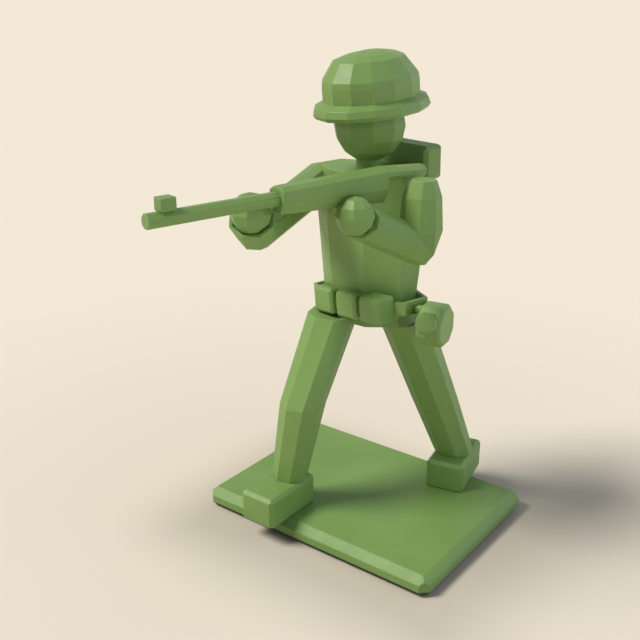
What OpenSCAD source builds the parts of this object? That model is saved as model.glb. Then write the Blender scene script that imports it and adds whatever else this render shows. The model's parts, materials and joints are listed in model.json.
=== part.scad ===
// Standing toy rifleman on an oblong ground plate, built from plug-together mouldings.
// Frame: origin under the middle of the plate, X across the stance, -Y ahead, +Z up. Millimetres.

/* [Ground plate] */
// Plate length, across the stance
plate_length = 33; // [24:0.5:48]
// Plate width, front to back
plate_width = 24.1; // [18:0.1:36]
// Plate thickness
plate_thickness = 2.15; // [1.5:0.05:4]
// Bevel on the plate's top edges and corners
plate_bevel = 0.95; // [0.3:0.05:1]
// Bevel on the plate's bottom edges
plate_under_bevel = 0.25; // [0.1:0.05:0.6]

/* [Boots] */
// Boot length, toe to heel
boot_length = 8.6; // [6:0.1:11]
// Boot width
boot_width = 4.95; // [3.5:0.05:7]
// Boot height
boot_height = 3.8; // [2.5:0.1:6]
// Bevel on boot edges
boot_bevel = 0.45; // [0.1:0.05:1]
// Bevel round the soles
sole_bevel = 0.15; // [0.1:0.05:0.5]
// Middle of the right boot on the plate
right_boot_middle = [-5.85, -10.3]; // [-16:0.1:16]
// Middle of the left boot on the plate
left_boot_middle = [7.4, 10.1]; // [-16:0.1:16]
// Left boot turned out by this angle
left_boot_turn = 12; // [0:1:30]
// Radius of the peg under a boot
boot_peg_radius = 0.8; // [0.4:0.05:1.2]
// Length of the peg under a boot
boot_peg_length = 1.3; // [0.6:0.1:1.6]
// Peg distance behind the middle of the right boot
right_peg_back = 1.2; // [0:0.1:3]
// Peg distance ahead of the middle of the left boot
left_peg_ahead = 1.2; // [0:0.1:3]

/* [Legs] */
// Centre of the right ankle on top of the boot
right_ankle = [-5.75, -8.2]; // [-20:0.1:20]
// Centre of the right knee
right_knee = [-4.3, -7.3, 16]; // [-20:0.1:40]
// Centre of the right hip at the waist joint
right_hip = [-3.45, -2.3]; // [-20:0.1:20]
// Centre of the left ankle on top of the boot
left_ankle = [7.3, 10.05]; // [-20:0.1:20]
// Centre of the left knee
left_knee = [5.9, 6.85, 14.2]; // [-20:0.1:40]
// Centre of the left hip at the waist joint
left_hip = [4.4, 1.3]; // [-20:0.1:20]
// Radius over the corners at the right ankle, knee and hip
right_leg_radii = [2.2, 2.8, 3.1]; // [1:0.05:5]
// Radius over the corners at the left ankle, knee and hip
left_leg_radii = [2.55, 2.9, 3.15]; // [1:0.05:5]
// Corners of the legs turned to the figure's right
leg_turn = 8; // [0:0.5:45]
// Radius of the peg under a leg
ankle_peg_radius = 0.9; // [0.4:0.05:1.4]
// Length of the peg under a leg
ankle_peg_length = 1.9; // [0.8:0.1:3]

/* [Hips and waist joint] */
// Height of the joint face between legs and trunk
waist_level = 26.45; // [20:0.05:34]
// Half width of the hip block
hip_half_width = 5; // [3:0.1:8]
// Half depth of the hip block
hip_half_depth = 3.6; // [2:0.1:6]
// Half width of the crotch
crotch_half_width = 3.2; // [1:0.1:6]
// Half depth of the crotch
crotch_half_depth = 2.2; // [1:0.1:5]
// Height of the hip block
hip_block_height = 0.9; // [0.9:0.1:5]
// Radius of the hip pegs
hip_peg_radius = 0.3; // [0.2:0.05:1]
// Reach of the hip pegs to each side
hip_peg_reach = 5.6; // [4:0.1:7]
// Drop of the hip pegs below the joint face
hip_peg_drop = 0.45; // [0.4:0.05:2]
// Radius of the waist post where it turns
waist_post_radius = 1.6; // [1:0.05:2.2]
// Height of the waist post above the joint face
waist_post_height = 4.6; // [2:0.1:7]
// Bevel on the tip of the post
waist_tip_bevel = 0.35; // [0.1:0.05:0.6]

/* [Trunk] */
// Whole trunk turned to its right
trunk_turn = 13.5; // [0:0.5:30]
// Trunk moulding turned back against the row of pouches
block_turn = 3.5; // [0:0.5:10]
// Half width of the trunk at the waist, chest and shoulders
trunk_half_widths = [6.4, 7.6, 7.1]; // [4:0.1:12]
// Half depth of the trunk at the waist, chest and shoulders
trunk_half_depths = [3.5, 4.35, 4.2]; // [2:0.1:8]
// Flare of the jacket's hem in width and depth
hem_flare = [0.55, 0.15]; // [0:0.05:1]
// Height where the hem begins to flare
hem_level = 27.8; // [26.7:0.1:30]
// Height of the widest chest section
chest_level = 38.1; // [30:0.1:44]
// Height of the flat shoulder top
shoulder_level = 43.9; // [36:0.1:50]

/* [Belt and pouches] */
// Inner half width and half depth of the belt
belt_inner = [8.3, 4]; // [3:0.05:12]
// Belt thickness
belt_thickness = 0.55; // [0.3:0.05:1]
// Belt height
belt_height = 1.5; // [0.8:0.1:3]
// Height of the belt's middle
belt_level = 28.6; // [26:0.1:34]
// Belt hangs up to the left by this angle
belt_slant = 6; // [0:0.5:12]
// Pouch width and height
pouch_size = [3.4, 3.15]; // [1.5:0.05:6]
// Distance between pouch middles
pouch_pitch = 4.05; // [2:0.05:7]
// Middle pouch set off to the left
pouch_offset = 1.25; // [-3:0.05:3]
// Greatest pouch depth
pouch_depth = 2.7; // [1:0.05:4]
// Distance from trunk middle to pouch fronts
pouch_front = 4.85; // [4:0.05:8]
// Bevel on pouch edges
pouch_bevel = 0.35; // [0.1:0.05:0.8]
// Radius of the rivet behind a pouch
rivet_radius = 0.4; // [0.2:0.05:0.8]
// Distance between the rivets behind the pouches
rivet_pitch = 3.1; // [2:0.05:5]
// Rivet lengths of the right, middle and left pouch
rivet_lengths = [2.7, 2.7, 3.6]; // [1.5:0.1:5]

/* [Canteen] */
// Middle of the canteen's outer face, left, ahead and up
canteen_place = [11.5, 1.45, 27.7]; // [-20:0.05:60]
// Canteen axis turned back from the trunk's side
canteen_turn = 22; // [0:1:60]
// Canteen radius over the corners
canteen_radius = 2.5; // [1.5:0.05:5]
// Canteen thickness along its axis
canteen_thickness = 2.95; // [1:0.05:5]
// Bevel on the canteen's rims
canteen_bevel = 0.3; // [0.1:0.05:0.8]
// Radius of the hanger peg
hanger_radius = 0.45; // [0.3:0.05:1]
// Rise of the hanger peg over the canteen's middle
hanger_rise = 1.5; // [0:0.1:2]
// Depth of the hanger peg in the trunk
hanger_depth = 0.8; // [0.3:0.1:2]
// Cap raised over the front by this angle
cap_rise = 20; // [0:1:60]
// Cap radius over the corners
cap_radius = 1.25; // [0.5:0.05:2]
// How far the cap stands off the rim
cap_stand = 1.1; // [0.2:0.05:2]
// Radius of the cap's stem
cap_stem_radius = 0.5; // [0.2:0.05:1]
// Length of the cap's stem in the canteen
cap_stem_length = 1.2; // [0.5:0.1:2]
// Bevel on the cap
cap_bevel = 0.25; // [0.05:0.05:0.6]

/* [Pack] */
// Pack width, depth and height
pack_size = [8.75, 2.85, 3.95]; // [1:0.1:16]
// Distance from trunk middle to the pack's middle
pack_back = 5.8; // [3:0.1:10]
// Height of the pack's middle
pack_level = 44.4; // [36:0.05:52]
// Pack top tips towards the head by this angle
pack_tip = 2; // [0:1:20]
// Bevel on pack edges
pack_bevel = 0.45; // [0.1:0.05:1]
// Radius of the pack pegs
pack_peg_radius = 0.35; // [0.2:0.05:0.6]
// Length of the pack pegs
pack_peg_length = 3; // [1:0.1:4]
// Distance between the pack pegs
pack_peg_pitch = 4; // [2:0.1:6]
// Drop of the pack pegs below the shoulder top
pack_peg_drop = 0.6; // [0.5:0.05:2]

/* [Neck, head and helmet] */
// Head and neck axis set ahead of the trunk middle
neck_ahead = 0.35; // [-2:0.05:3]
// Neck radius
neck_radius = 1.4; // [0.8:0.05:2.5]
// Neck length inside the trunk
neck_in_trunk = 2.8; // [1:0.1:4]
// Neck length inside the head
neck_in_head = 1.9; // [0.8:0.1:3]
// Head radius
head_radius = 4.1; // [2.5:0.05:6]
// Height of the middle of the head
head_level = 48.85; // [44:0.05:56]
// Facets round the head
head_sides = 10; // [6:1:12]
// Facets round the helmet
helmet_sides = 14; // [8:2:18]
// Helmet facets turned to the figure's right
facet_turn = 8; // [0:1:24]
// Helmet width as a share of its length
helmet_width_share = 0.8; // [0.6:0.01:1]
// Helmet half lengths from brim to crown
brim_half_length = 7.2; // [5:0.05:10]
// Half length at the upper edge of the brim's lip
lip_half_length = 6.95; // [5:0.05:10]
// Half length of the helmet's wall
wall_half_length = 5.95; // [4:0.05:9]
// Half length where the crown begins
band_half_length = 5.85; // [4:0.05:9]
// Half length of the upper crown
crown_half_length = 4.35; // [2:0.05:8]
// Half length just under the top
cap_half_length = 3; // [1:0.05:6]
// Half length of the top facet
top_half_length = 1.2; // [0.5:0.05:4]
// Half length at the lower edge of the rim
rim_half_length = 6.85; // [5:0.05:10]
// Height of the rim's widest line
rim_height = 0.45; // [0.2:0.05:1]
// Height of the brim's lip
lip_height = 1.15; // [0.5:0.05:2]
// Height of the wall's foot
wall_foot_height = 1.6; // [0.8:0.05:3]
// Height of the wall's head
wall_head_height = 3.2; // [2:0.05:6]
// Height of the band's head
band_height = 3.85; // [2:0.05:7]
// Height of the upper crown
crown_height = 5.75; // [3:0.05:8]
// Height just under the top
cap_height = 6.2; // [3:0.05:9]
// Height of the helmet
helmet_height = 6.5; // [4:0.05:10]
// Height of the brim's middle
brim_level = 50.25; // [46:0.05:56]
// Helmet tipped down at the front by this angle
helmet_tip = 5.5; // [0:0.5:15]
// Helmet set to the left of the head's middle and back of it
helmet_shift = [0.15, 0.25]; // [0:0.05:1]
// Crown set back of the helmet's middle at the upper crown, cap and top
crown_back = [-0.1, 0.1, 0.3]; // [-1:0.1:3]
// Radius of the helmet's opening
liner_radius = 4.2; // [3:0.05:6]
// Radius of the liner's crown
liner_crown_radius = 1.8; // [0.8:0.05:3]
// Height over which the liner narrows
liner_taper = 2.2; // [1:0.05:3]

/* [Right arm, reaching to the barrel] */
// Back of the right shoulder, left, back and up
right_shoulder_back = [-10.5, 1.3, 40.8]; // [-30:0.05:60]
// Right shoulder
right_shoulder = [-9.7, 0.3, 40.75]; // [-30:0.05:60]
// Top of the right sleeve where it meets the jacket
right_shoulder_top = [-8.3, 0.45, 41.55]; // [-30:0.05:60]
// Right elbow bend
right_elbow = [4.4, -19.3, 40.5]; // [-30:0.05:60]
// Right sleeve mouth
right_mouth = [4.9, -20.05, 42]; // [-30:0.05:60]
// Which way the right sleeve opens
right_mouth_aim = [0.455, -0.372, 0.809]; // [-1:0.001:1]
// Share of the right arm's run at which it bends
bend_share = 0.94; // [0.8:0.01:0.98]
// Radii at the right shoulder back, shoulder, bend, elbow, mouth and shoulder top
right_arm_radii = [1.6, 2.35, 2, 1.85, 2.3, 1.9]; // [1:0.05:4]

/* [Left arm, holding the grip] */
// Top of the left shoulder, left, back and up
left_shoulder_top = [10, -1.6, 44.35]; // [-30:0.05:60]
// Left shoulder
left_shoulder = [9.8, -1.6, 42.6]; // [-30:0.05:60]
// Left upper arm just over the elbow
left_upper_arm = [9.85, -1.7, 39]; // [-30:0.05:60]
// Left elbow
left_elbow = [10.1, -1.4, 36.8]; // [-30:0.05:60]
// Left sleeve mouth
left_mouth = [8.75, -9.5, 41.05]; // [-30:0.05:60]
// Which way the left sleeve opens
left_mouth_aim = [0.35, -0.78, 0.5]; // [-1:0.001:1]
// Radii at the left shoulder top, shoulder, upper arm and elbow
left_arm_radii = [1.35, 2.1, 2.35, 1.95]; // [0.5:0.05:4]
// Radius of the left sleeve mouth
left_mouth_radius = 2.05; // [1.5:0.05:3]
// Corners of the left sleeve turned back
left_arm_turn = -4; // [-22:0.5:22]

/* [Shoulder pegs, cuffs and hands] */
// Radius of a shoulder peg
shoulder_peg_radius = 0.7; // [0.4:0.05:1.2]
// Reach of a shoulder peg from the trunk middle outwards
shoulder_peg_reach = [6.2, 9.4]; // [4:0.1:12]
// Height of the shoulder pegs
shoulder_peg_level = 40.4; // [34:0.1:44]
// Shoulder pegs set ahead of the trunk middle
shoulder_peg_ahead = 0.4; // [0:0.1:2]
// Thickness of a sleeve at its mouth
cuff_wall = 0.32; // [0.2:0.01:0.8]
// Depth of the hollow in the right and the left sleeve
cuff_depths = [0.3, 0.95]; // [0.2:0.05:2]
// Share of the forearm run past the mouth before the slanting cut
sleeve_spare = 0.25; // [0.1:0.05:0.5]
// Hand radius
hand_radius = 2.05; // [1.2:0.05:3]
// Facets round a hand
hand_sides = 8; // [6:1:12]
// Facets of a hand from top to bottom
hand_rings = 6; // [4:1:10]
// Right hand stands this far out of its sleeve
right_hand_stand = 1; // [0:0.05:2]
// Left hand stands this far out of its sleeve
left_hand_stand = 1.25; // [0:0.05:2]
// Radius of a wrist peg
wrist_radius = 0.5; // [0.3:0.05:1]
// Length of a wrist peg below the sleeve mouth
wrist_length = 2.1; // [1:0.1:3]

/* [Rifle] */
// Rifle set off to the left of the trunk middle
rifle_offset = 7.26; // [4:0.02:12]
// Height of the barrel
barrel_level = 44.3; // [38:0.05:52]
// Barrel radius over the corners
barrel_radius = 0.73; // [0.5:0.01:1.5]
// Muzzle distance ahead of the trunk middle
muzzle_ahead = 32.7; // [24:0.1:44]
// Front of the rifle body ahead of the trunk middle
body_front = 18.7; // [12:0.1:26]
// Rear of the rifle body ahead of the trunk middle
body_rear = 5.2; // [2:0.05:10]
// Length of the bevelled nose of the body
nose_length = 0.2; // [0.1:0.05:1]
// Share of the section left at the nose
nose_share = 0.94; // [0.5:0.01:1]
// Half width of the rifle body
body_half_width = 1.2; // [0.6:0.05:2]
// Half width of the body's top and bottom strips
strip_half_width = 0.6; // [0.3:0.05:1.5]
// Rise of the body's top over the barrel's axis at front and rear
body_top_rise = [1.15, 1.4]; // [0.5:0.05:4]
// Rise of the side faces' upper edge at front and rear
side_top_rise = [0.8, 1.05]; // [0.3:0.05:4]
// Drop of the side faces' lower edge below the barrel's axis at front and rear
side_low_drop = [0.25, 0.75]; // [0:0.05:4]
// Drop of the underside at front and rear
body_low_drop = [1.45, 2.2]; // [0.8:0.05:5]
// Butt end behind the trunk middle
butt_end = 0.7; // [0:0.05:6]
// Butt half width at wrist and end
butt_half_widths = [1.1, 0.85]; // [0.4:0.05:1.5]
// Butt bevel
butt_bevel = 0.45; // [0.1:0.05:0.6]
// Rise of the butt's top over the barrel's axis at wrist and end
butt_top_rise = [1.4, 1.05]; // [0.3:0.05:4]
// Rise of the butt's underside at wrist and end
butt_low_rise = [0.05, -0.25]; // [-2:0.05:2]
// Half width of the butt's tenon
tenon_half_width = 0.45; // [0.2:0.05:1]
// Height of the butt's tenon
tenon_height = 0.8; // [0.3:0.05:1.5]
// Length of the butt's tenon
tenon_length = 1.8; // [0.5:0.1:4]
// Radius of the barrel's tail in the body
tail_radius = 0.55; // [0.3:0.05:1]
// Length of the barrel's tail
tail_length = 3.5; // [1:0.1:8]
// Radius of the grip peg under the body
grip_peg_radius = 0.4; // [0.2:0.05:0.8]
// Length of the grip peg under the body
grip_peg_length = 1; // [0.5:0.1:2]
// Sight width, length and height above the barrel's top
sight_size = [1.35, 1.55, 1.25]; // [0.5:0.05:4]
// Sight middle behind the muzzle
sight_back = 2.05; // [1.2:0.05:6]
// Sight bevel
sight_bevel = 0.1; // [0.05:0.05:0.5]
// Radius of the sight's stem
sight_stem_radius = 0.3; // [0.2:0.05:0.5]
// Length of the sight's stem
sight_stem_length = 0.7; // [0.3:0.05:1.2]

/* [Fits] */
// Radial clearance of glued pegs
peg_clearance = 0.03; // [0.01:0.01:0.1]
// Radial clearance of the turning posts
turn_clearance = 0.05; // [0.02:0.01:0.1]
// Gap between parts that move past each other
rest_gap = 0.1; // [0.05:0.01:0.3]
// Gap of fixed parts set against each other
seat_gap = 0.02; // [0.01:0.01:0.1]

/* [View] */
// Which sub-part to show

/* [Hidden] */
green = [0.36, 0.52, 0.22];
limb_sides = 8;
corner_turn = 180 / limb_sides;
round_sides = 48;
sliver = 0.02;
boot_top = plate_thickness + boot_height;
trunk_low = waist_level + rest_gap;
post_rise = waist_post_height + hip_block_height / 2;
barrel_flat = barrel_radius * cos(corner_turn);
head_rings = 8;
pouch_row = [-1, 0, 1];
belt_outer = [belt_inner.x + belt_thickness, belt_inner.y + belt_thickness];
canteen_flat = canteen_radius * cos(corner_turn);
hanger_length = (canteen_place.x - trunk_half_widths[0] * cos(corner_turn) + hanger_depth)
    / cos(canteen_turn) - canteen_thickness;
right_hand_middle = right_mouth + right_mouth_aim * (right_hand_stand / norm(right_mouth_aim));
left_hand_middle = left_mouth + left_mouth_aim * (left_hand_stand / norm(left_mouth_aim));
grip_peg_place = [rifle_offset + strip_half_width, left_hand_middle.y];
liner_top = head_level + head_radius + rest_gap / 2;
sight_ahead = muzzle_ahead - sight_back;
body_top = [for (r = body_top_rise) barrel_level + r];
side_top = [for (r = side_top_rise) barrel_level + r];
side_low = [for (d = side_low_drop) barrel_level - d];
body_low = [for (d = body_low_drop) barrel_level - d];
butt_top = [for (r = butt_top_rise) barrel_level + r];
butt_low = [for (r = butt_low_rise) barrel_level + r];
clear_of_all = pack_size.z + helmet_height;

// Outline helpers
function octagon(half_x, half_y) =
    [for (k = [0 : limb_sides - 1])
        let (a = corner_turn + k * 360 / limb_sides) [half_x * cos(a), half_y * sin(a)]];
function oval(half_x, half_y, sides, turn) =
    [for (k = [0 : sides - 1])
        let (a = k * 360 / sides - turn) [half_x * cos(a), half_y * sin(a)]];
function bevelled(w, h, e, low) =
    [[w / 2 - low, -h / 2], [w / 2, low - h / 2], [w / 2, h / 2 - e], [w / 2 - e, h / 2],
     [e - w / 2, h / 2], [-w / 2, h / 2 - e], [-w / 2, low - h / 2], [low - w / 2, -h / 2]];

// Block with every edge bevelled, standing on its base, its bottom edges by an own amount
module bevel_block(size, e, low) {
    intersection() {
        linear_extrude(size.z) polygon(bevelled(size.x, size.y, e, e));
        translate([0, size.y / 2, size.z / 2]) rotate([90, 0, 0])
            linear_extrude(size.y) polygon(bevelled(size.x, size.z, e, low));
        translate([-size.x / 2, 0, size.z / 2]) rotate([90, 0, 90])
            linear_extrude(size.x) polygon(bevelled(size.y, size.z, e, low));
    }
}

// Thin eight-sided slice square to an aim, its corners turned about the aim
module slice(place, aim, radius, turn) {
    translate(place) rotate([0, acos(aim.z / norm(aim)), atan2(aim.y, aim.x)])
        rotate([0, 0, turn]) cylinder(r = radius, h = sliver, center = true, $fn = limb_sides);
}

// Round peg or bore along an aim
module peg(place, aim, radius, length) {
    translate(place) rotate([0, acos(aim.z / norm(aim)), atan2(aim.y, aim.x)])
        cylinder(r = radius, h = length, $fn = round_sides);
}

// Level slice of the trunk or hips
module level_slice(half_x, half_y, level) {
    translate([0, 0, level]) linear_extrude(sliver) polygon(octagon(half_x, half_y));
}

module faceted_ball(radius, sides, rings) {
    rotate_extrude($fn = sides)
        polygon([for (k = [0 : rings]) radius * [sin(k * 180 / rings), -cos(k * 180 / rings)]]);
}

module on_trunk() rotate([0, 0, -trunk_turn]) children();
module on_belt()
    on_trunk() translate([0, 0, belt_level]) rotate([0, -belt_slant, 0]) children();

// Ground plate with a peg hole for each boot
module base_plate() {
    color(green) difference() {
        bevel_block([plate_length, plate_width, plate_thickness], plate_bevel, plate_under_bevel);
        right_boot_place() boot_hole(right_peg_back);
        left_boot_place() boot_hole(-left_peg_ahead);
    }
}
module boot_hole(back)
    peg([0, back, -boot_peg_length - seat_gap], [0, 0, 1], boot_peg_radius + peg_clearance,
        boot_peg_length + boot_height);

module right_boot_place()
    translate([right_boot_middle.x, right_boot_middle.y, plate_thickness]) children();
module left_boot_place()
    translate([left_boot_middle.x, left_boot_middle.y, plate_thickness])
        rotate([0, 0, left_boot_turn]) children();
module boot(back) {
    bevel_block([boot_width, boot_length, boot_height], boot_bevel, sole_bevel);
    peg([0, back, -boot_peg_length], [0, 0, 1], boot_peg_radius, boot_peg_length + boot_bevel);
}
module ankle_hole(ankle)
    peg([ankle.x, ankle.y, boot_top - ankle_peg_length - seat_gap], [0, 0, 1],
        ankle_peg_radius + peg_clearance, ankle_peg_length + boot_height);
module right_boot()
    color(green) difference() {
        right_boot_place() boot(right_peg_back);
        ankle_hole(right_ankle);
    }
module left_boot()
    color(green) difference() {
        left_boot_place() boot(-left_peg_ahead);
        ankle_hole(left_ankle);
    }

// A leg is one moulding of two tapering lengths that bend at the knee
module leg_slice(place, radius)
    translate(place) rotate([0, 0, -leg_turn])
        cylinder(r = radius, h = sliver, center = true, $fn = limb_sides);
module leg(ankle, knee, hip, radii) {
    difference() {
        union() {
            hull() {
                leg_slice([ankle.x, ankle.y, boot_top + sliver / 2], radii[0]);
                leg_slice(knee, radii[1]);
            }
            hull() {
                leg_slice(knee, radii[1]);
                leg_slice([hip.x, hip.y, waist_level - sliver / 2], radii[2]);
            }
            peg([ankle.x, ankle.y, boot_top - ankle_peg_length], [0, 0, 1], ankle_peg_radius,
                ankle_peg_length + boot_bevel);
        }
        hip_block(seat_gap);
        hip_pegs(peg_clearance);
    }
}
module right_leg() color(green) leg(right_ankle, right_knee, right_hip, right_leg_radii);
module left_leg() color(green) leg(left_ankle, left_knee, left_hip, left_leg_radii);

// Hip block between the legs, with a peg into each leg and the post that the trunk turns on
module hip_block(gap) {
    hull() {
        level_slice(hip_half_width + gap, hip_half_depth + gap, waist_level - sliver + gap);
        level_slice(hip_half_width + gap, hip_half_depth + gap, waist_level - hip_block_height / 2);
        level_slice(crotch_half_width + gap, crotch_half_depth + gap,
            waist_level - hip_block_height - gap);
    }
}
module hip_pegs(gap)
    peg([-hip_peg_reach - gap, 0, waist_level - hip_peg_drop], [1, 0, 0], hip_peg_radius + gap,
        2 * (hip_peg_reach + gap));
module pelvis() {
    color(green) {
        hip_block(0);
        hip_pegs(0);
        translate([0, 0, waist_level - hip_block_height / 2]) rotate_extrude($fn = round_sides)
            polygon([[0, 0], [waist_post_radius, 0], [waist_post_radius, post_rise - waist_tip_bevel],
                [waist_post_radius - waist_tip_bevel, post_rise], [0, post_rise]]);
    }
}

// Trunk, a tapering eight-sided block, and the bores for all that plugs into it
module trunk_block(gap) {
    on_trunk() rotate([0, 0, block_turn]) {
        hull() {
            level_slice(trunk_half_widths[0] + hem_flare.x, trunk_half_depths[0] + hem_flare.y,
                trunk_low);
            level_slice(trunk_half_widths[0], trunk_half_depths[0], hem_level);
        }
        hull() {
            level_slice(trunk_half_widths[0] + gap, trunk_half_depths[0] + gap, trunk_low);
            level_slice(trunk_half_widths[1] + gap, trunk_half_depths[1] + gap, chest_level);
        }
        hull() {
            level_slice(trunk_half_widths[1] + gap, trunk_half_depths[1] + gap, chest_level);
            level_slice(trunk_half_widths[2] + gap, trunk_half_depths[2] + gap,
                shoulder_level - sliver);
        }
    }
}
module torso() {
    color(green) difference() {
        trunk_block(0);
        peg([0, 0, trunk_low - rest_gap], [0, 0, 1], waist_post_radius + turn_clearance,
            waist_post_height + 2 * rest_gap);
        on_trunk() peg([0, -neck_ahead, shoulder_level - neck_in_trunk - rest_gap], [0, 0, 1],
            neck_radius + turn_clearance, neck_in_trunk + head_radius);
        on_belt() rivets(peg_clearance);
        canteen_hanger(peg_clearance);
        shoulder_peg(1, peg_clearance);
        shoulder_peg(-1, peg_clearance);
        pack_pegs(peg_clearance);
    }
}

// Belt hung slantwise on the trunk and riveted through the pouches
module belt_band(half, gap) {
    translate([0, 0, -belt_height / 2 - gap])
        linear_extrude(belt_height + 2 * gap) polygon(octagon(half.x + gap, half.y + gap));
}
module belt() {
    color(green) difference() {
        on_belt() difference() {
            belt_band(belt_outer, 0);
            belt_band(belt_inner, seat_gap);
            rivets(peg_clearance);
        }
        canteen_hanger(peg_clearance);
    }
}
module rivets(gap) for (side = pouch_row) rivet(side, gap);
module rivet(side, gap)
    peg([pouch_offset + side * rivet_pitch, -pouch_front + pouch_bevel, 0], [0, 1, 0],
        rivet_radius + gap, rivet_lengths[1 + side] + gap);
module pouch(side) {
    color(green) {
        difference() {
            on_belt() translate([pouch_offset + side * pouch_pitch,
                (pouch_depth - 2 * pouch_front) / 2, -pouch_size.y / 2])
                bevel_block([pouch_size.x, pouch_depth, pouch_size.y], pouch_bevel, pouch_bevel);
            trunk_block(seat_gap);
            on_belt() belt_band(belt_outer, seat_gap);
        }
        on_belt() rivet(side, 0);
    }
}
module right_pouch() pouch(pouch_row[0]);
module middle_pouch() pouch(pouch_row[1]);
module left_pouch() pouch(pouch_row[2]);

// Canteen, an eight-sided drum on the left hip, hung on a peg through the belt
module canteen_place_at()
    on_trunk() translate(canteen_place) rotate([0, 0, canteen_turn]) rotate([0, 90, 0]) children();
module canteen_hanger(gap)
    canteen_place_at() peg([-hanger_rise, 0, -canteen_thickness - hanger_length - gap], [0, 0, 1],
        hanger_radius + gap, hanger_length + canteen_thickness / 2);
module canteen_drum(gap)
    canteen_place_at() translate([0, 0, -canteen_thickness]) hull() {
        translate([0, 0, canteen_bevel]) rotate([0, 0, corner_turn])
            cylinder(r = canteen_radius + gap, h = canteen_thickness - 2 * canteen_bevel,
                $fn = limb_sides);
        rotate([0, 0, corner_turn])
            cylinder(r = canteen_radius - canteen_bevel + gap, h = canteen_thickness, $fn = limb_sides);
    }
module canteen() {
    color(green) {
        difference() {
            canteen_drum(0);
            canteen_stem(peg_clearance);
        }
        canteen_hanger(0);
    }
}
module cap_place_at()
    canteen_place_at() translate([0, 0, -canteen_thickness / 2]) rotate([0, 0, -cap_rise])
        rotate([90, 0, 0]) children();
module canteen_stem(gap)
    cap_place_at() peg([0, 0, canteen_flat - cap_stem_length - gap], [0, 0, 1],
        cap_stem_radius + gap, cap_stem_length + gap + cap_bevel);
module canteen_cap() {
    color(green) {
        difference() {
            cap_place_at() translate([0, 0, canteen_flat - cap_bevel]) hull()
                for (e = [0, cap_bevel]) rotate([0, 0, corner_turn])
                    cylinder(r = cap_radius - e, h = cap_stand + e, $fn = limb_sides);
            canteen_drum(seat_gap);
        }
        canteen_stem(0);
    }
}

// Pack riding high on the back on two pegs
module pack_pegs(gap)
    on_trunk() for (s = [-1, 1])
        peg([s * pack_peg_pitch / 2, pack_back, shoulder_level - pack_peg_drop], [0, -1, 0],
            pack_peg_radius + gap, pack_peg_length + gap);
module pack() {
    color(green) {
        difference() {
            on_trunk() translate([0, pack_back, pack_level]) rotate([pack_tip, 0, 0])
                translate([0, 0, -pack_size.z / 2]) bevel_block(pack_size, pack_bevel, pack_bevel);
            trunk_block(seat_gap);
        }
        pack_pegs(0);
    }
}

// Neck, a round post that turns in the trunk and is fixed in the head
module on_neck() on_trunk() translate([0, -neck_ahead, 0]) children();
module neck() {
    color(green) on_neck()
        peg([0, 0, shoulder_level - neck_in_trunk], [0, 0, 1], neck_radius,
            neck_in_trunk + head_level - head_radius + neck_in_head - shoulder_level);
}
module head() {
    color(green) on_neck() difference() {
        translate([0, 0, head_level]) faceted_ball(head_radius, head_sides, head_rings);
        peg([0, 0, shoulder_level], [0, 0, 1], neck_radius + peg_clearance,
            head_level - head_radius + neck_in_head + seat_gap - shoulder_level);
    }
}

// Helmet, a hollow shell that lifts off the head
module helmet_slice(half_length, level, back = 0)
    translate([0, back, level]) linear_extrude(sliver)
        polygon(oval(half_length * helmet_width_share, half_length, helmet_sides, facet_turn));
module helmet() {
    color(green) on_neck() difference() {
        translate([helmet_shift.x, helmet_shift.y, brim_level]) rotate([helmet_tip, 0, 0]) {
            hull() {
                helmet_slice(rim_half_length, 0);
                helmet_slice(brim_half_length, rim_height);
                helmet_slice(lip_half_length, lip_height);
                helmet_slice(wall_half_length, wall_foot_height);
            }
            hull() {
                helmet_slice(wall_half_length, lip_height);
                helmet_slice(wall_half_length, wall_head_height);
                helmet_slice(band_half_length, band_height);
                helmet_slice(crown_half_length, crown_height, crown_back[0]);
                helmet_slice(cap_half_length, cap_height, crown_back[1]);
                helmet_slice(top_half_length, helmet_height - sliver, crown_back[2]);
            }
        }
        hull() {
            translate([0, 0, brim_level - clear_of_all / 2]) cylinder(r = liner_radius,
                h = liner_top - liner_taper - brim_level + clear_of_all / 2, $fn = helmet_sides);
            cylinder(r = liner_crown_radius, h = liner_top, $fn = helmet_sides);
        }
    }
}

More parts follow.
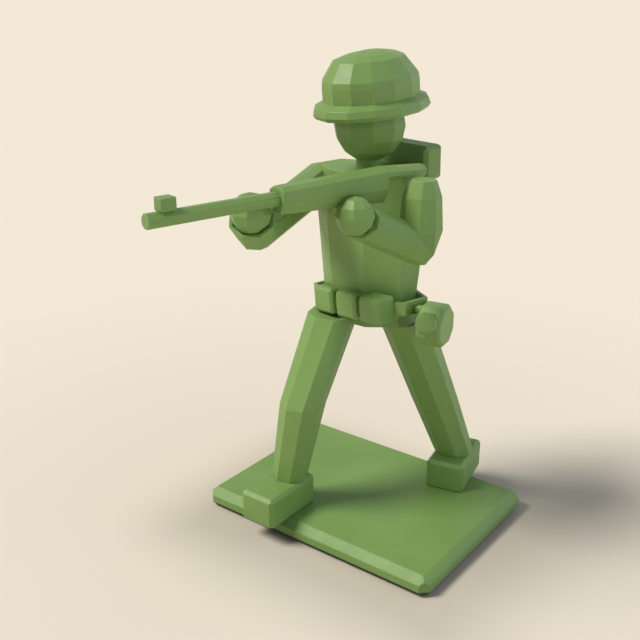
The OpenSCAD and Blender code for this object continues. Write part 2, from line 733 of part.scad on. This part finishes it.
// Shoulder pegs, hollow sleeve mouths and wrists
module shoulder_peg(side, gap)
    on_trunk() peg([side * (shoulder_peg_reach[0] - gap), -shoulder_peg_ahead, shoulder_peg_level],
        [side, 0, 0], shoulder_peg_radius + gap, shoulder_peg_reach[1] - shoulder_peg_reach[0]);
module mouth_cut(mouth, aim)
    translate(mouth) rotate([0, acos(aim.z / norm(aim)), atan2(aim.y, aim.x)])
        translate([-clear_of_all / 2, -clear_of_all / 2, 0]) cube(clear_of_all);
module cuff_hollow(mouth, aim, radius, turn, depth) {
    hull() {
        slice(mouth + aim * (sliver / norm(aim)), aim, radius - cuff_wall, turn);
        slice(mouth - aim * (depth / norm(aim)), aim, radius - 2 * cuff_wall, turn);
    }
    peg(mouth - aim * ((wrist_length + seat_gap) / norm(aim)), aim, wrist_radius + peg_clearance,
        wrist_length + cuff_wall);
}
module right_arm() {
    run = right_elbow - right_shoulder;
    bend = run / norm(run) + right_mouth_aim;
    color(green) {
        difference() {
            on_trunk() difference() {
                union() {
                    hull() {
                        slice(right_shoulder_back, run, right_arm_radii[0], corner_turn);
                        slice(right_shoulder, run, right_arm_radii[1], corner_turn);
                        slice(right_shoulder_top, run, right_arm_radii[5], corner_turn);
                        slice(right_shoulder + bend_share * run, run, right_arm_radii[2], corner_turn);
                    }
                    hull() {
                        slice(right_shoulder + bend_share * run, run, right_arm_radii[2], corner_turn);
                        slice(right_elbow, bend, right_arm_radii[3], corner_turn);
                        slice(right_mouth, right_mouth_aim, right_arm_radii[4], corner_turn);
                    }
                }
                cuff_hollow(right_mouth, right_mouth_aim, right_arm_radii[4], corner_turn,
                    cuff_depths[0]);
                hand_ball(right_hand_middle, seat_gap);
            }
            trunk_block(seat_gap);
        }
        shoulder_peg(-1, 0);
    }
}
module left_arm() {
    run = left_mouth - left_elbow;
    color(green) {
        difference() {
            on_trunk() difference() {
                union() {
                    hull() {
                        slice(left_shoulder_top, [0, 0, 1], left_arm_radii[0], left_arm_turn);
                        slice(left_shoulder, [0, 0, 1], left_arm_radii[1], left_arm_turn);
                        slice(left_upper_arm, [0, 0, 1], left_arm_radii[2], left_arm_turn);
                        slice(left_elbow, run, left_arm_radii[3], left_arm_turn);
                    }
                    hull() {
                        slice(left_elbow, run, left_arm_radii[3], left_arm_turn);
                        slice(left_mouth + run * sleeve_spare, run, left_mouth_radius, left_arm_turn);
                    }
                }
                mouth_cut(left_mouth, left_mouth_aim);
                cuff_hollow(left_mouth, left_mouth_aim, left_mouth_radius, left_arm_turn,
                    cuff_depths[1]);
                hand_ball(left_hand_middle, seat_gap);
                body_notch();
            }
            trunk_block(seat_gap);
        }
        shoulder_peg(1, 0);
    }
}
module hand_ball(middle, gap)
    translate(middle) faceted_ball(hand_radius + gap, hand_sides, hand_rings);
module hand(middle, mouth, aim) {
    hand_ball(middle, 0);
    peg(mouth - aim * (wrist_length / norm(aim)), aim, wrist_radius,
        wrist_length + norm(middle - mouth));
}
module barrel_notch()
    hull() {
        barrel_bar(rest_gap);
        translate([0, 0, clear_of_all]) barrel_bar(rest_gap);
    }
module body_notch()
    hull() {
        body_bar(rest_gap);
        translate([0, 0, clear_of_all]) body_bar(rest_gap);
    }
module right_hand() {
    color(green) on_trunk() difference() {
        hand(right_hand_middle, right_mouth, right_mouth_aim);
        barrel_notch();
    }
}
module left_hand() {
    color(green) on_trunk() difference() {
        hand(left_hand_middle, left_mouth, left_mouth_aim);
        body_notch();
        grip_peg(turn_clearance);
    }
}

// Rifle
module barrel_bar(gap)
    translate([rifle_offset, -body_front, barrel_level]) rotate([90, 0, 0])
        rotate([0, 0, corner_turn]) cylinder(r = barrel_radius + gap,
            h = muzzle_ahead - body_front, $fn = limb_sides);
module body_slice(ahead, end, share, gap)
    translate([rifle_offset, -ahead, barrel_level]) rotate([90, 0, 0])
        linear_extrude(sliver, center = true) polygon([for (p = [
            [-strip_half_width, body_low[end] - gap], [strip_half_width, body_low[end] - gap],
            [body_half_width + gap, side_low[end]], [body_half_width + gap, side_top[end]],
            [strip_half_width, body_top[end] + gap], [-strip_half_width, body_top[end] + gap],
            [-body_half_width - gap, side_top[end]], [-body_half_width - gap, side_low[end]]])
            [share * p.x, share * (p.y - barrel_level)]]);
module body_bar(gap)
    hull() {
        body_slice(body_front, 0, nose_share, gap);
        body_slice(body_front - nose_length, 0, 1, gap);
        body_slice(body_rear, 1, 1, gap);
    }
module grip_peg(gap)
    peg([grip_peg_place.x, grip_peg_place.y, body_low[0] - grip_peg_length - gap], [0, 0, 1],
        grip_peg_radius + gap, grip_peg_length + tenon_height);
module rifle_body() {
    color(green) on_trunk() difference() {
        union() {
            body_bar(0);
            grip_peg(0);
        }
        barrel_tail(peg_clearance);
        butt_tenon(peg_clearance);
    }
}
module barrel_tail(gap)
    peg([rifle_offset, -body_front - sliver, barrel_level], [0, 1, 0], tail_radius + gap,
        tail_length + gap);
module rifle_barrel() {
    color(green) on_trunk() difference() {
        union() {
            translate([0, -sliver, 0]) barrel_bar(0);
            barrel_tail(0);
        }
        sight_stem(peg_clearance);
    }
}
module butt_tenon(gap)
    translate([rifle_offset - tenon_half_width - gap, -body_rear - tenon_length - gap,
        (butt_top[0] + butt_low[0] - tenon_height) / 2 - gap])
        cube([2 * (tenon_half_width + gap), tenon_length + butt_bevel + 2 * gap,
            tenon_height + 2 * gap]);
module butt_slice(ahead, end)
    translate([rifle_offset, -ahead, (butt_top[end] + butt_low[end]) / 2]) rotate([90, 0, 0])
        linear_extrude(sliver, center = true)
            polygon(bevelled(2 * butt_half_widths[end], butt_top[end] - butt_low[end], butt_bevel,
                butt_bevel));
module rifle_butt() {
    color(green) on_trunk() {
        hull() {
            butt_slice(body_rear - sliver, 0);
            butt_slice(-butt_end, 1);
        }
        butt_tenon(0);
    }
}
module sight_stem(gap)
    peg([rifle_offset, -sight_ahead, barrel_level + barrel_flat - sight_stem_length - gap],
        [0, 0, 1], sight_stem_radius + gap, sight_stem_length + sight_bevel + gap);
module front_sight() {
    color(green) on_trunk() {
        translate([rifle_offset, -sight_ahead, barrel_level + barrel_flat])
            bevel_block(sight_size, sight_bevel, sight_bevel);
        sight_stem(0);
    }
}

base_plate();
right_boot();
left_boot();
right_leg();
left_leg();
pelvis();
torso();
belt();
right_pouch();
middle_pouch();
left_pouch();
canteen();
canteen_cap();
pack();
neck();
head();
helmet();
right_arm();
left_arm();
right_hand();
left_hand();
rifle_body();
rifle_butt();
rifle_barrel();
front_sight();
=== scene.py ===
import json
import math

import bmesh
import bpy
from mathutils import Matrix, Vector
from mathutils.bvhtree import BVHTree


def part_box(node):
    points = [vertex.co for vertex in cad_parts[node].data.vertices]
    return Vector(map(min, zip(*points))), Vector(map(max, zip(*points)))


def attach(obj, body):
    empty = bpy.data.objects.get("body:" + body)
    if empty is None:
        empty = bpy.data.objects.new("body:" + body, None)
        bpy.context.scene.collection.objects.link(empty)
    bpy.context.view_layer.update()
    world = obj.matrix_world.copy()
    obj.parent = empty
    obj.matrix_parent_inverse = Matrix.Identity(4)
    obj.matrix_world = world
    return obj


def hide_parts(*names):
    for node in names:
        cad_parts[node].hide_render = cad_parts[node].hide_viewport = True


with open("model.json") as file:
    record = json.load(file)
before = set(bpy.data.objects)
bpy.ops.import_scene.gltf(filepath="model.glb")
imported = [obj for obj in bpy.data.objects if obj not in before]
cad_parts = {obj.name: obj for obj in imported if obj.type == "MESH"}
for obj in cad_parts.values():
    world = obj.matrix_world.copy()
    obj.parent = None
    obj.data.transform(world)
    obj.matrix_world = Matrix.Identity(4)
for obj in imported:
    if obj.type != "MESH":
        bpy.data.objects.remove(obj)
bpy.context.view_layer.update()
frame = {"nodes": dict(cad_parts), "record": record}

# Camera. It stands where the photograph was taken from, found from the straight
# edges of the ground plate, and carries a plain 50 mm lens.
camera_place = Vector((0.056146, -0.083481, 0.063141))
camera_turn, camera_height = math.radians(37.2055), math.radians(20.5576)
lens_length, sensor_width = 50, 36
nearest_seen, farthest_seen = 0.002, 200
towards_camera = Vector((
    math.sin(camera_turn) * math.cos(camera_height),
    -math.cos(camera_turn) * math.cos(camera_height),
    math.sin(camera_height)))
camera = bpy.data.objects.new("camera", bpy.data.cameras.new("camera"))
camera.data.lens, camera.data.sensor_width = lens_length, sensor_width
camera.data.clip_start, camera.data.clip_end = nearest_seen, farthest_seen
camera.location = camera_place
camera.rotation_mode = "QUATERNION"
camera.rotation_quaternion = (-towards_camera).to_track_quat("-Z", "Y")
bpy.context.scene.collection.objects.link(camera)
bpy.context.scene.camera = camera


# Ground plate. A solid slab of moulded green plastic with broad bevels, which the
# boots plug into. Its top is handled most, so rubbing marks show there, and its foot
# is painted dark where it stands on the table, as painted shade under it.
class Signal:
    """A shader socket that takes part in Python sums."""

    def __init__(self, finish, socket):
        self.finish, self.socket = finish, socket

    def maths(self, operation, first, second):
        return self.finish.node(
            "ShaderNodeMath", {"operation": operation}, {0: first, 1: second})

    def __add__(self, other):
        return self.maths("ADD", self, other)

    def __sub__(self, other):
        return self.maths("SUBTRACT", self, other)

    def __mul__(self, other):
        return self.maths("MULTIPLY", self, other)

    def __rsub__(self, other):
        return self.maths("SUBTRACT", other, self)

    __radd__, __rmul__ = __add__, __mul__

    def between(self, low, high):
        """0 below low, 1 above high and a soft step from one to the other."""
        return self.finish.node(
            "ShaderNodeMapRange", {"interpolation_type": "SMOOTHSTEP"},
            {"Value": self, "From Min": low, "From Max": high})


class Finish:
    """The shader nodes of a material or a room, in the making."""

    def __init__(self, owner):
        owner.use_nodes = True
        self.owner, self.tree = owner, owner.node_tree
        self.tree.nodes.clear()

    def node(self, kind, settings=None, inputs=None, output=0):
        """Adds one node, and gives back the output that was asked for."""
        made = self.tree.nodes.new(kind)
        for key, value in (settings or {}).items():
            setattr(made, key, value)
        for key, value in (inputs or {}).items():
            if isinstance(value, Signal):
                self.tree.links.new(value.socket, made.inputs[key])
            else:
                made.inputs[key].default_value = value
        return Signal(self, made.outputs[output]) if made.outputs else None

    def noise(self, where, size, detail=2.0, roughness=0.5):
        """Soft random signal from 0 to 1 whose patches are about size metres across."""
        return self.node(
            "ShaderNodeTexNoise", {},
            {"Vector": where, "Scale": 1 / size, "Detail": detail, "Roughness": roughness})

    def blend(self, amount, first, second):
        """A colour that goes from first to second as amount goes from 0 to 1."""
        return self.node(
            "ShaderNodeMix", {"data_type": "RGBA"}, {0: amount, 6: first, 7: second}, output=2)


def green(red_share=1.0, green_share=1.0, blue_share=1.0):
    """The toy's plastic colour, with each channel scaled."""
    return (0.174 * red_share, 0.298 * green_share, 0.080 * blue_share, 1)


def plastic(name, seed, rub=0.3, gloss=0.5, streak=0.3, pit=None, foot=None):
    """Green moulded plastic. Rub is how worn it is, gloss its roughness and streak how clearly
    the melt's flow shows. Pit is the place and radius of a small pit, painted darker inside as
    shade, and foot the two heights between which a foot band painted near black as shade ends."""
    cloud_size, flow_size = 0.011, 0.0016
    dimple_size, nick_size, grain_size = 0.0011, 0.0006, 0.00021
    relief_depth, relief_strength, pit_weight = 0.00004, 0.22, 12
    made = Finish(bpy.data.materials.new(name))
    place = made.node("ShaderNodeTexCoord", output="Object")
    here = made.node("ShaderNodeMapping", {}, {"Vector": place, "Location": (seed, -seed, seed)})
    drawn_upwards = made.node("ShaderNodeMapping", {}, {"Vector": here, "Scale": (1, 1, 0.22)})
    cloud = made.noise(here, cloud_size, detail=3)
    flow = made.noise(drawn_upwards, flow_size, detail=4, roughness=0.6)
    grain = made.noise(here, grain_size, detail=3, roughness=0.6)
    dimple = made.noise(here, dimple_size, detail=2)
    nick = made.noise(here, nick_size, detail=5, roughness=0.72)
    worn_edge = made.node("ShaderNodeAttribute", {"attribute_name": "worn"}, output="Fac")
    chafe = nick.between(0.53, 0.66) * rub
    rubbed = worn_edge * (0.3 + 0.7 * nick.between(0.4, 0.6)) * rub + chafe * 0.3

    deep, bright, pale = green(0.90, 0.93, 0.88), green(1.08, 1.05, 1.08), green(1.40, 1.22, 1.65)
    hue = made.blend(cloud.between(0.3, 0.7), deep, bright)
    hue = made.blend(flow.between(0.35, 0.7) * streak, hue, bright)
    hue = made.blend(rubbed, hue, pale)
    rough = gloss + 0.16 * (dimple - 0.5) + 0.14 * chafe + 0.10 * (grain - 0.5) + 0.06 * worn_edge
    height = 0.5 * grain + 1.1 * dimple + 0.35 * nick

    if pit:
        centre, radius = pit
        away = made.node(
            "ShaderNodeVectorMath", {"operation": "DISTANCE"}, {0: place, 1: centre}, "Value")
        hole = 1 - away.between(0.55 * radius, radius)
        # The pit is painted darker: painted shade inside it.
        hue = made.blend(hole * 0.8, hue, green(0.25, 0.25, 0.25))
        height = height - pit_weight * hole

    if foot:
        rise = made.node("ShaderNodeSeparateXYZ", {}, {0: place}, "Z")
        shaded_foot = 1 - rise.between(*foot)
        # The foot band is painted near black: painted shade where the piece meets what it stands on.
        hue = made.blend(shaded_foot * 0.93, hue, green(0.06, 0.06, 0.06))
        rough = rough + 0.3 * shaded_foot

    relief = made.node("ShaderNodeBump", {}, {
        "Strength": relief_strength, "Distance": relief_depth, "Height": height})
    body = made.node("ShaderNodeBsdfPrincipled", {}, {
        "Base Color": hue, "Roughness": rough, "Normal": relief, "IOR": 1.48,
        "Specular IOR Level": 0.42})
    made.node("ShaderNodeOutputMaterial", {}, {"Surface": body})
    return made.owner


def solid_of(node, weld=1e-5, flat=math.radians(0.6)):
    """The CAD node's mesh, merged, with its flat faces whole again."""
    solid = bmesh.new()
    solid.from_mesh(frame["nodes"][node].data)
    bmesh.ops.remove_doubles(solid, verts=solid.verts, dist=weld)
    bmesh.ops.dissolve_degenerate(solid, dist=weld / 5, edges=solid.edges)
    bmesh.ops.dissolve_limit(solid, angle_limit=flat, verts=solid.verts, edges=solid.edges)
    return solid


def neighbours_of(node, reach=0.0002):
    """Search trees of the CAD nodes whose boxes touch this one's."""
    low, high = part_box(node)
    trees = []
    for other in frame["nodes"]:
        other_low, other_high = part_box(other)
        if other != node and all(other_low[i] < high[i] + reach and other_high[i] > low[i] - reach
                                 for i in range(3)):
            solid = solid_of(other)
            trees.append(BVHTree.FromBMesh(solid))
            solid.free()
    return trees


def moulded(node, material, rounding, turning=math.radians(14), seam=0.00008, room=2.6):
    """The piece as it leaves the mould: the CAD node's own form with its sharp edges rounded.
    Edges that turn less than turning, lie within seam of a neighbour or have less room than
    that many roundings stay sharp. The rounded strips carry the attribute "worn", high where
    they turn far."""
    barely_turned, far_turned = 0.2, 0.8
    solid = solid_of(node)
    worn = solid.faces.layers.float.new("worn")
    trees = neighbours_of(node)

    def against(point):
        return any(tree.find_nearest(point, seam)[0] is not None for tree in trees)

    def roomy(edge):
        nearby = [other for end in edge.verts for other in end.link_edges]
        return min(other.calc_length() for other in nearby) > room * rounding

    sharp = [edge for edge in solid.edges
             if len(edge.link_faces) == 2 and edge.calc_face_angle() > turning
             and edge.is_convex and roomy(edge)
             and not against((edge.verts[0].co + edge.verts[1].co) / 2)]
    strips = bmesh.ops.bevel(
        solid, geom=sharp, offset=rounding, offset_type="OFFSET", segments=2, profile=0.5,
        affect="EDGES", clamp_overlap=False, loop_slide=True, material=-1)
    for face in strips["faces"]:
        face.smooth = True
        along = sorted(face.edges, key=lambda edge: edge.calc_length())[-2:]
        turn = max(face.normal.angle(other.normal, 0) for edge in along for other in edge.link_faces)
        face[worn] = min(1, max(0, (turn - barely_turned) / (far_turned - barely_turned)))
    mesh = bpy.data.meshes.new(node + "_moulded")
    solid.to_mesh(mesh)
    solid.free()
    mesh.materials.append(material)
    piece = bpy.data.objects.new(node + "_moulded", mesh)
    bpy.context.scene.collection.objects.link(piece)
    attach(piece, body_with[node])
    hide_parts(node)
    return piece


body_with = {node: body for body, nodes in frame["record"]["behaviour"]["bodies"].items()
             for node in nodes}
# Heights between which the plate's foot is painted dark, as painted shade under it.
plate_foot = (0.0002, 0.0004)
moulded("base_plate", plastic("plate_green", seed=0.31, rub=0.4, streak=0.2, foot=plate_foot),
        rounding=0.00008)

# Boots. Two block-shaped boots of the same plastic with bevelled uppers, moulded one
# by one and glued into the plate, their soles painted dark just above it as shade. The left one
# keeps the small pit where its runner was cut off, painted darker inside as shade.
boot_low, boot_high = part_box("left_boot")
pit_inset, pit_behind_toe, pit_level, pit_radius = 0.0010, 0.0061, 0.0045, 0.0003
pit_place = Vector((boot_high.x - pit_inset, boot_low.y + pit_behind_toe, pit_level))
plate_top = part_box("base_plate")[1].z
# Heights above the plate top between which the boots' painted shade fades out.
shade_start, shade_end = 0.00003, 0.00014
sole_edge = (plate_top + shade_start, plate_top + shade_end)
for node, seed, pit in (("right_boot", 0.47, None), ("left_boot", 0.53, (pit_place, pit_radius))):
    moulded(node, plastic(node + "_green", seed, rub=0.5, gloss=0.48, pit=pit, foot=sole_edge),
            rounding=0.00007)

# Legs and hips. Eight-sided trouser legs, one moulding each with the bend of the knee
# in it, glued over the side pegs of a small hip block, whose round post the trunk
# turns on.
for node, seed in (("right_leg", 0.61), ("left_leg", 0.67)):
    moulded(node, plastic(node + "_green", seed, gloss=0.52, streak=0.45), rounding=0.00007)
moulded("pelvis", plastic("pelvis_green", seed=0.71, rub=0.15), rounding=0.00005)

# Trunk. The jacket is one tapering eight-sided moulding with a flared hem, bored for
# the posts and pegs of everything that plugs into it.
moulded("torso", plastic("jacket_green", seed=0.79, rub=0.25, gloss=0.53, streak=0.5),
        rounding=0.00008)

# Belt and pouches. A thin slanting ring of plastic round the jacket, held by the
# rivets of three pouches that stand proud of it.
moulded("belt", plastic("belt_green", seed=0.83, rub=0.4, gloss=0.46), rounding=0.00007)
for node, seed in (("right_pouch", 0.87), ("middle_pouch", 0.91), ("left_pouch", 0.93)):
    moulded(node, plastic(node + "_green", seed, rub=0.45, gloss=0.48), rounding=0.0001)

# Canteen. An eight-sided moulded drum hung on the left hip by a peg, with its cap
# plugged into the rim.
moulded("canteen", plastic("canteen_green", seed=0.97, rub=0.45, gloss=0.47), rounding=0.00007)
moulded("canteen_cap", plastic("cap_green", seed=1.01, rub=0.5, gloss=0.45), rounding=0.00006)

# Pack. A bevelled plastic block riding high on the back, pushed onto the jacket with
# two pegs.
moulded("pack", plastic("pack_green", seed=1.07, rub=0.4), rounding=0.00007)

# Neck and head. A round plastic post that turns in the jacket, with only its rims
# rounded, and a plain faceted ball with no face, glued on it.
moulded("neck", plastic("neck_green", seed=1.13, rub=0.2), rounding=0.00008,
        turning=math.radians(30))
moulded("head", plastic("head_green", seed=1.19, rub=0.2, gloss=0.52), rounding=0.00006)

# Helmet. A hollow fourteen-sided plastic shell with a lipped brim, moulded in one and
# loose on the head.
moulded("helmet", plastic("helmet_green", seed=1.23, rub=0.2, gloss=0.46), rounding=0.00005)

# Sleeves and hands. Eight-sided plastic sleeves cut to the jacket and hollow at the
# mouth, each holding a round faceted hand with an open notch for the rifle.
for node, seed in (("right_arm", 1.29), ("left_arm", 1.31)):
    moulded(node, plastic(node + "_green", seed, rub=0.35, gloss=0.52, streak=0.4),
            rounding=0.00007)
for node, seed in (("right_hand", 1.37), ("left_hand", 1.41)):
    moulded(node, plastic(node + "_green", seed, gloss=0.48), rounding=0.00005)

# Rifle. Body, butt, barrel and sight are four small mouldings glued in a row, and
# the whole lies loose in the hands. Its long edges are the most rubbed.
for node, seed, rounding in (("rifle_body", 1.47, 0.00006), ("rifle_butt", 1.51, 0.00006),
                             ("rifle_barrel", 1.53, 0.00005), ("front_sight", 1.57, 0.00004)):
    moulded(node, plastic(node + "_green", seed, rub=0.5, gloss=0.45, streak=0.2), rounding)

# Floor. A plain cream sheet that runs on behind the figure without an edge. It lies
# a hair below the plate, which leaves a dark line under its foot. Its cream is painted darker
# close to the figure as shade, and darker still round the plate as a painted contact shadow.
floor_half_width, floor_drop = 40, 0.0004
far_cream, shade_near_cream = (0.875, 0.791, 0.683, 1), (0.785, 0.71, 0.61, 1)
contact_shadow_cream, contact_shadow_shift = (0.53, 0.475, 0.40, 1), (0.0025, -0.0035, 0)
near_shade_fade, contact_shadow_fade = (0.01, 0.11), (-0.005, 0.013)
sheet = bmesh.new()
bmesh.ops.create_grid(sheet, x_segments=1, y_segments=1, size=floor_half_width)
mesh = bpy.data.meshes.new("floor")
sheet.to_mesh(mesh)
sheet.free()
floor = bpy.data.objects.new("floor", mesh)
floor.location.z = -floor_drop
bpy.context.scene.collection.objects.link(floor)
paper = Finish(bpy.data.materials.new("floor_cream"))
spot = paper.node("ShaderNodeTexCoord", output="Object")
reach = paper.node("ShaderNodeVectorMath", {"operation": "LENGTH"}, {0: spot}, "Value")
# Painted shade: the floor's cream gets darker towards the figure.
cream = paper.blend(reach.between(*near_shade_fade), shade_near_cream, far_cream)
plate_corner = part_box("base_plate")[1]
# Painted contact shadow: the floor darkens within a few millimetres of the plate's outline.
beyond = spot
for operation, other in (("SUBTRACT", contact_shadow_shift), ("ABSOLUTE", (0, 0, 0)),
                         ("SUBTRACT", plate_corner), ("MAXIMUM", (0, 0, 0))):
    beyond = paper.node("ShaderNodeVectorMath", {"operation": operation}, {0: beyond, 1: other})
contact_shadow_reach = paper.node("ShaderNodeVectorMath", {"operation": "LENGTH"}, {0: beyond}, "Value")
card = paper.node("ShaderNodeBsdfPrincipled", {}, {
    "Base Color": paper.blend(contact_shadow_reach.between(*contact_shadow_fade), contact_shadow_cream, cream),
    "Roughness": 0.85, "Specular IOR Level": 0.1})
paper.node("ShaderNodeOutputMaterial", {}, {"Surface": card})
mesh.materials.append(paper.owner)

# Studio light. One soft key from high on the viewer's left, and a pale room all
# round. The room is brighter at the viewer's right, behind the figure and in what
# the plastic reflects, dimmer overhead, and cream to the camera.
key_turn, key_height = math.radians(-134), math.radians(51)
key_softness, key_strength, key_colour = 0.40, 3.2, (1, 0.975, 0.90)
key_aim = Vector((math.cos(key_turn) * math.cos(key_height),
                  math.sin(key_turn) * math.cos(key_height), math.sin(key_height)))
key = bpy.data.objects.new("key", bpy.data.lights.new("key", "SUN"))
key.data.angle, key.data.energy, key.data.color = key_softness, key_strength, key_colour
key.rotation_mode = "QUATERNION"
key.rotation_quaternion = key_aim.to_track_quat("Z", "Y")
bpy.context.scene.collection.objects.link(key)

white_wall, cool_wall = (0.96, 0.97, 0.98, 1), (0.90, 1.0, 1.12, 1)
cream_wall = (0.90, 0.81, 0.665, 1)
viewers_right, behind_figure, overhead = (0.99, 0.04, 0.06), (0.35, 0.87, 0.34), (0, 0, 1)
plain_level, right_level, back_level = 0.225, 0.78, 0.5
overhead_drop, gloss_level = 0.19, 0.4
room = bpy.data.worlds.new("room")
bpy.context.scene.world = room
air = Finish(room)
way = air.node("ShaderNodeTexCoord", output="Generated")
right, behind, above = (
    air.node("ShaderNodeVectorMath", {"operation": "DOT_PRODUCT"}, {0: way, 1: side}, "Value")
    for side in (viewers_right, behind_figure, overhead))
glossy = air.node("ShaderNodeLightPath", output="Is Glossy Ray")
glow = air.node("ShaderNodeBackground", {}, {
    "Color": air.blend(right.between(0.1, 0.9), white_wall, cool_wall),
    "Strength": plain_level + right_level * right.between(0.4, 1.0)
    + back_level * behind.between(0.55, 0.98) - overhead_drop * above.between(0.25, 0.85)
    + gloss_level * glossy})
backdrop = air.node("ShaderNodeBackground", {}, {"Color": cream_wall, "Strength": 1.0})
seen = air.node("ShaderNodeLightPath", output="Is Camera Ray")
both = air.node("ShaderNodeMixShader", {}, {0: seen, 1: glow, 2: backdrop})
air.node("ShaderNodeOutputWorld", {}, {"Surface": both})

# View. Colours are shown as they are written.
bpy.context.scene.view_settings.view_transform = "Standard"
